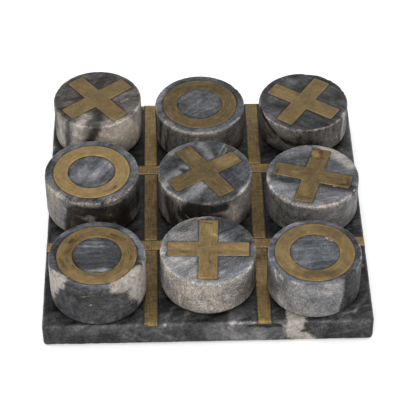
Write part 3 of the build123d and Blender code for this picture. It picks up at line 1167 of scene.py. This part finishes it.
        across("tone", 3, 0.09, (-0.8, 0.5), (-0.3, 0.9)),
    ],
}

# The slab's faces, in millimetres
LEFT, FRONT = (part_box("board_slab")[0] / MM).xy
RIGHT, BACK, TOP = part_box("board_slab")[1] / MM

# The slab's top tone is very dark partly as painted shade, so that the ground between the discs shows near
# black.
SLAB_LOOK = {
    "top": 0.10, "side": 0.22, "top_warm": 0.35, "side_warm": 0.35, "grain": 0.12, "top_grain": 0.0,
    "wear_and_rim_highlight": 0.6, "bedding": 25,
    "veins": [
        ("cream", [(55, -92, TOP), (53.5, FRONT, 14), (54, FRONT, 9)], 8.5, 1.3),
        ("cream", [(72, -48, TOP), (64, -66, TOP), (60, -78, TOP), (55, -92, TOP)], 4.5, 1.0),
        ("cream", [(54, FRONT, 9), (60, FRONT, 0)], 6.5, 1.3),
        ("dark", [(60, FRONT, 15), (62, FRONT, 11), (59, FRONT, 9)], 2.4, 0.7),
        ("cream", [(64, -66, TOP), (80, -56, TOP), (93, -51, TOP)], 2.6, 0.5),
        ("cream", [(93, -51, TOP), (102, -58, 12)], 3.6, 0.6),
        ("dark", [(26, FRONT, 14.6), (44, FRONT, 15)], 1.7, 1.0),
        ("tone", [(12, -102.4, 17.4), (30, -102.6, 17.2)], 2.0, 0.14),
        ("cream", [(16, -102.4, 17.4), (28, -102.6, 17.2)], 1.6, 0.28),
        ("tone", [(16, -100, TOP), (28, -86, TOP)], 7, 0.09),
        ("tone", [(4, FRONT, 8), (24, FRONT, 5), (44, FRONT, 8)], 9, 0.16),
        ("tone", [(-9, FRONT, 9), (4, FRONT, 9)], 8, -0.02),
        ("tone", [(-27, -102, TOP), (-20, -88, TOP)], 1.8, 0.14),
        ("tone", [(-15, -101, TOP), (-10, -86, TOP)], 1.6, 0.1),
        ("tone", [(-27.5, FRONT, 17), (-26.5, -99, TOP)], 1.4, 0.22),
        ("tone", [(-50, FRONT, 12), (-38, FRONT, 3)], 1.6, 0.08),
        ("tone", [(-34, FRONT, 14), (-20, FRONT, 4)], 1.6, 0.10),
        ("tone", [(-95, FRONT, 9), (-60, FRONT, 12)], 1.4, 0.06),
        ("tone", [(-98, FRONT, 8), (-60, FRONT, 8)], 13, -0.035),
        ("tone", [(84, -99, TOP), (98, -84, TOP)], 6, 0.1),
        ("tone", [(78, -99, TOP), (98, -90, TOP)], 1.4, 0.14),
        ("tone", [(90, -96, TOP), (99, -78, TOP)], 1.4, 0.14),
        ("tone", [(74, FRONT, 9), (100, FRONT, 9)], 13, -0.06),
        ("tone", [(72, FRONT, 6), (99, FRONT, 12)], 1.6, 0.08),
        ("tone", [(97, 40, TOP), (98, 80, TOP)], 6, 0.13),
        # A lighter band along the open front margin of the top: painted light, where no disc shades the slab.
        ("tone", [(-100, -97, TOP), (-60, -100, TOP), (-40, -97, TOP)], 8, 0.10),
        ("tone", [(-98, -60, TOP), (-97, 60, TOP)], 4, 0.06),
        ("tone", [(RIGHT, -80, 12), (RIGHT, -20, 4)], 5, 0.10),
        ("cream", [(RIGHT, 20, 17), (RIGHT, 32, 2)], 5, 0.6),
        ("cream", [(-60, BACK, 17), (-40, BACK, 2)], 6, 0.7),
        ("cream", [(-40, BACK, TOP), (-20, 60, TOP)], 3.5, 0.5),
        ("tone", [(20, BACK, 9), (80, BACK, 7)], 9, 0.12),
        ("tone", [(LEFT, -70, 12), (LEFT, 10, 6)], 4, 0.10),
        ("cream", [(LEFT, 60, 17), (LEFT, 52, 2)], 4, 0.6),
        ("tone", [(-101, -90, TOP), (-70, -40, TOP)], 2, 0.06),
        # Lighter bands along the open front margin of the top: painted light, where no disc shades the slab.
        ("tone", [(-30, -99, TOP), (30, -99, TOP)], 8, 0.10),
        ("tone", [(40, -98, TOP), (102, -98, TOP)], 8, 0.09),
    ],
}

# Brass: how bright it is, how much of it is stained, how strongly it is brushed, and how clearly finer
# lines cross the brushing, like a weave. Places are as on a disc's top, and on the grid in millimetres.
BRASS_LOOKS = {
    "cross_1": {"tone": 0.385, "stain": -0.35, "brush": 0.12, "weave": 0.10, "veins": []},
    "cross_2": {"tone": 0.385, "stain": -0.35, "brush": 0.12, "weave": 0.10, "veins": [
        across("tone", 6, 0.04, (-0.55, 0.3), (-0.3, 0.2)),
    ]},
    "cross_3": {"tone": 0.32, "stain": -0.25, "brush": 0.26, "weave": 0.06, "veins": [
        # A painted highlight: a broad lighter patch where the brass catches the light.
        across("tone", 8, 0.11, (0.4, 0.3), (0.6, 0.42)),
        across("tone", 4, 0.05, (-0.3, 0.6), (-0.2, 0.45)),
    ]},
    "cross_4": {"tone": 0.345, "stain": -0.10, "brush": 0.30, "weave": 0.10, "veins": [
        across("tone", 3.8, 0.11, (0.1, 0.68), (0.14, 0.62)),
        across("stain", 2.2, 0.42, (0.0, 0.75), (0.02, 0.55)),
        across("stain", 2.4, 0.6, (0.24, 0.78), (0.26, 0.52)),
        across("stain", 1.6, 0.5, (0.05, 0.8), (0.22, 0.8)),
        across("stain", 1.8, 0.4, (0.1, 0.5), (0.2, 0.48)),
        across("stain", 2.0, 0.6, (0.74, -0.15), (0.72, -0.32)),
        across("stain", 2.0, 0.35, (0.3, -0.04), (0.6, -0.12)),
        across("tone", 4, 0.06, (-0.4, 0.1), (-0.3, 0.12)),
        across("stain", 3, 0.3, (-0.15, 0.02), (0.0, 0.0)),
        across("stain", 1.6, 0.45, (-0.76, 0.24), (-0.74, 0.06)),
        across("stain", 1.6, 0.4, (-0.52, 0.2), (-0.24, 0.14)),
        across("stain", 1.8, 0.45, (-0.3, -0.66), (-0.12, -0.74)),
        across("stain", 1.3, 0.5, (0.45, -0.26), (0.74, -0.33)),
        across("tone", 4, 0.05, (-0.2, -0.35), (-0.22, -0.55)),
    ]},
    "cross_5": {"tone": 0.41, "stain": -0.15, "brush": 0.35, "weave": 0.12, "veins": [
        across("tone", 4, 0.06, (0.05, 0.6), (0.05, 0.5)),
        across("tone", 1.6, 0.1, (0.1, 0.45), (0.14, 0.4)),
        across("stain", 1.6, 0.45, (0.0, -0.3), (0.06, -0.5), (-0.04, -0.66)),
        across("stain", 2.4, 0.28, (-0.2, 0.06), (-0.05, 0.1)),
        across("stain", 1.6, 0.35, (-0.08, 0.3), (0.0, 0.36)),
        across("stain", 1.5, 0.4, (-0.14, 0.76), (0.1, 0.7)),
        across("stain", 1.5, 0.35, (-0.66, -0.1), (-0.34, -0.06)),
        across("stain", 1.6, 0.35, (0.04, -0.12), (0.3, -0.1)),
        across("tone", 4, 0.05, (-0.72, 0.08), (-0.4, 0.05)),
        across("tone", 4, 0.05, (0.35, 0.04), (0.7, 0.0)),
    ]},
    "ring_1": {"tone": 0.325, "stain": -0.20, "brush": 0.30, "weave": 0.0, "veins": [
        across("tone", 6, -0.03, (-0.4, 0.5), (0.4, 0.5)),
    ]},
    "ring_2": {"tone": 0.465, "stain": -0.45, "brush": 0.22, "weave": 0.0, "veins": [
        across("stain", 2.2, 0.55, (0.28, -0.64), (0.42, -0.58), (0.54, -0.46)),
    ]},
    "ring_3": {"tone": 0.39, "stain": 0.08, "brush": 0.55, "weave": 0.0, "veins": [
        across("stain", 4.0, 0.35, (-0.62, 0.0), (-0.5, 0.35), (-0.3, 0.55)),
        across("stain", 3.0, 0.35, (0.1, 0.62), (0.5, 0.42)),
        across("stain", 2.4, 0.35, (0.6, 0.0), (0.5, -0.35)),
        across("stain", 2.2, 0.7, (-0.56, 0.36), (-0.42, 0.54)),
        across("stain", 2.0, 0.6, (0.3, 0.6), (0.56, 0.44)),
        across("stain", 1.8, 0.6, (0.7, 0.14), (0.7, -0.12)),
        across("stain", 1.8, 0.5, (-0.76, -0.1), (-0.66, -0.34)),
        across("tone", 4, 0.06, (-0.5, -0.5), (-0.3, -0.7), (0.3, -0.75), (0.6, -0.5)),
    ]},
    "ring_4": {"tone": 0.395, "stain": -0.20, "brush": 0.22, "weave": 0.0, "veins": [
        across("tone", 4, -0.08, (-0.2, -0.65), (0.35, -0.6)),
        across("tone", 5, -0.05, (0.1, 0.68), (0.5, 0.5)),
        across("tone", 4, 0.05, (-0.68, 0.0), (-0.5, -0.4)),
    ]},
}

GRID_LOOK = {"tone": 0.335, "stain": -0.30, "brush": 0.34, "weave": 0.34, "veins": [
    # Lighter tone at the strips' ends, clear of the discs: painted light where no disc shades the brass.
    ("tone", [(-35, -104, TOP), (-35, -98, TOP)], 10, 0.06),
    ("tone", [(34.5, -104, TOP), (34.5, -60, TOP)], 12, 0.10),
    ("tone", [(-35, 45, TOP), (-35, 104, TOP)], 12, 0.09),
    ("tone", [(34.5, 45, TOP), (34.5, 104, TOP)], 12, 0.05),
    ("tone", [(-102, -34.5, TOP), (102, -34.5, TOP)], 10, 0.10),
    ("tone", [(-102, 36, TOP), (102, 36, TOP)], 10, 0.07),
]}


# ---------------------------------------------------------------- putting it together

def finish_node(node, material):
    """Gives a CAD node its material."""
    data = frame["nodes"][node].data
    data.materials.clear()
    data.materials.append(material)


make_camera()
make_studio()
make_floor()
marble = marble_material()
brass = brass_material()
resin = resin_material()
rubber = rubber_material()

for seed, name in enumerate(DISC_NAMES, start=1):
    make_disc(name, DISC_LOOKS[name], DISC_VEINS[name], marble, seed)
    look = BRASS_LOOKS[name]
    low, high = (np.array(corner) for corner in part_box(f"{name}_stone"))
    middle = np.append((low + high)[:2] / 2, low[2])
    size = np.append((high - low)[:2] / 2, high[2] - low[2])
    veins = placed(look["veins"], middle, size)
    make_brass(f"{name}_brass_mark", name, look, veins, brass, seed)
make_slab(SLAB_LOOK, marble, len(DISC_NAMES) + 1)

grid_veins = placed(GRID_LOOK["veins"], np.zeros(3), MM)
for seed, node in enumerate(STRIP_NAMES, start=30):
    make_brass(node, "board", GRID_LOOK, grid_veins, brass, seed)

for node in frame["nodes"]:
    if node.endswith("_resin_bed") or node == "grid_resin":
        finish_node(node, resin)
    elif node.startswith("rubber_foot"):
        finish_node(node, rubber)
